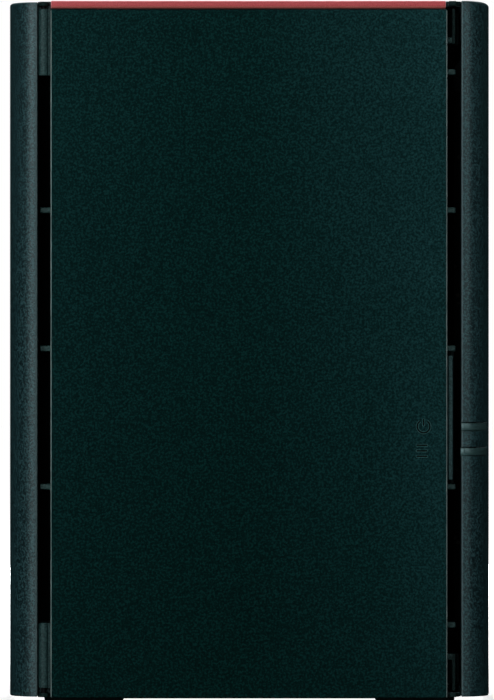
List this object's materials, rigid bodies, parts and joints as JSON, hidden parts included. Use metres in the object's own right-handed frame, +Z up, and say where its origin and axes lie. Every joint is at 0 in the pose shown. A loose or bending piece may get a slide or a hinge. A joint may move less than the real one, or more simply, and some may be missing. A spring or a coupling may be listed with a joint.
{
  "type": "nas enclosure",
  "caption": "Upright desktop network storage box with a hinged textured front door, red top strip, rounded front pillars, light bands, drive bays, rear fan and ports.",
  "frame": {"origin": "centre of the footprint at the level the feet stand on", "axes": "+X to the viewer's right facing the door, +Y to the back, +Z up"},
  "size_m": [0.087, 0.205, 0.127],
  "materials": {
    "body_black": "fine matte",
    "door_black": "spark-eroded grain",
    "inner_black": "matte",
    "accent_red": "satin",
    "lens_grey": "smoked translucent",
    "foot_rubber": "matte",
    "zinc_steel": "zinc-plated",
    "screw_black": "black oxide",
    "pin_steel": "ground",
    "drive_alloy": "cast and brushed",
    "board_green": "solder mask",
    "port_nickel": "nickel-plated",
    "socket_black": "satin",
    "fan_black": "satin",
    "button_grey": "satin",
    "sink_alloy": "extruded",
    "lead_black": "matte"
  },
  "bodies": {
    "enclosure": {"base_tray": "body_black", "bay_divider": "zinc_steel", "board_screw_1": "screw_black", "board_screw_2": "screw_black", "board_screw_3": "screw_black", "board_standoff_1": "pin_steel", "board_standoff_2": "pin_steel", "board_standoff_3": "pin_steel", "cpu_heatsink": "sink_alloy", "dc_jack": "socket_black", "drive_cage": "zinc_steel", "drive_tray_left": "inner_black", "drive_tray_right": "inner_black", "fan_frame": "fan_black", "fan_grille": "body_black", "fan_header": "socket_black", "fan_lead": "lead_black", "fan_screw_1": "screw_black", "fan_screw_2": "screw_black", "fan_screw_3": "screw_black", "fan_screw_4": "screw_black", "foot_front_left": "foot_rubber", "foot_front_right": "foot_rubber", "foot_rear_left": "foot_rubber", "foot_rear_right": "foot_rubber", "front_bezel": "inner_black", "function_switch": "socket_black", "hard_drive_left": "drive_alloy", "hard_drive_right": "drive_alloy", "hinge_pin_bottom": "pin_steel", "hinge_pin_top": "pin_steel", "lan_jack": "port_nickel", "led_board": "board_green", "left_side_cover": "body_black", "main_board": "board_green", "power_switch": "socket_black", "rear_panel": "body_black", "rear_screw_1": "screw_black", "rear_screw_2": "screw_black", "rear_screw_3": "screw_black", "rear_screw_4": "screw_black", "right_side_cover": "body_black", "sata_backplane": "board_green", "sata_connector_left": "socket_black", "sata_connector_right": "socket_black", "status_lens_lower": "lens_grey", "status_lens_upper": "lens_grey", "top_cover": "body_black", "usb_port": "port_nickel"},
    "door": {"front_door": "door_black", "accent_strip": "accent_red", "door_liner": "inner_black"},
    "door_latch": {"door_latch": "inner_black"},
    "tray_latch_left": {"tray_latch_left": "button_grey"},
    "tray_latch_right": {"tray_latch_right": "button_grey"},
    "fan_rotor": {"fan_rotor": "fan_black"},
    "power_slider": {"power_slider": "button_grey"},
    "function_button": {"function_button": "button_grey"}
  },
  "joints": [
    {"name": "door_hinge", "type": "hinge", "parent": "enclosure", "child": "door", "pos_m": [-0.0372, -0.1009, 0.0633], "axis": [0, 0, -1], "range_deg": [0, 105]},
    {"name": "door_latch_slide", "type": "slide", "parent": "door", "child": "door_latch", "axis": [-1, 0, 0], "range_m": [0, 0.0012], "stiffness_N_per_m": 200},
    {"name": "tray_latch_left_slide", "type": "slide", "parent": "enclosure", "child": "tray_latch_left", "axis": [0, 0, 1], "range_m": [0, 0.003], "stiffness_N_per_m": 200},
    {"name": "tray_latch_right_slide", "type": "slide", "parent": "enclosure", "child": "tray_latch_right", "axis": [0, 0, 1], "range_m": [0, 0.003], "stiffness_N_per_m": 200},
    {"name": "fan_spin", "type": "hinge", "parent": "enclosure", "child": "fan_rotor", "pos_m": [-0.0093, 0.0907, 0.075], "axis": [0, 1, 0], "continuous": true},
    {"name": "power_slide", "type": "slide", "parent": "enclosure", "child": "power_slider", "axis": [0, 0, 1], "range_m": [0, 0.004]},
    {"name": "function_press", "type": "slide", "parent": "enclosure", "child": "function_button", "axis": [0, -1, 0], "range_m": [0, 0.001], "stiffness_N_per_m": 300}
  ]
}
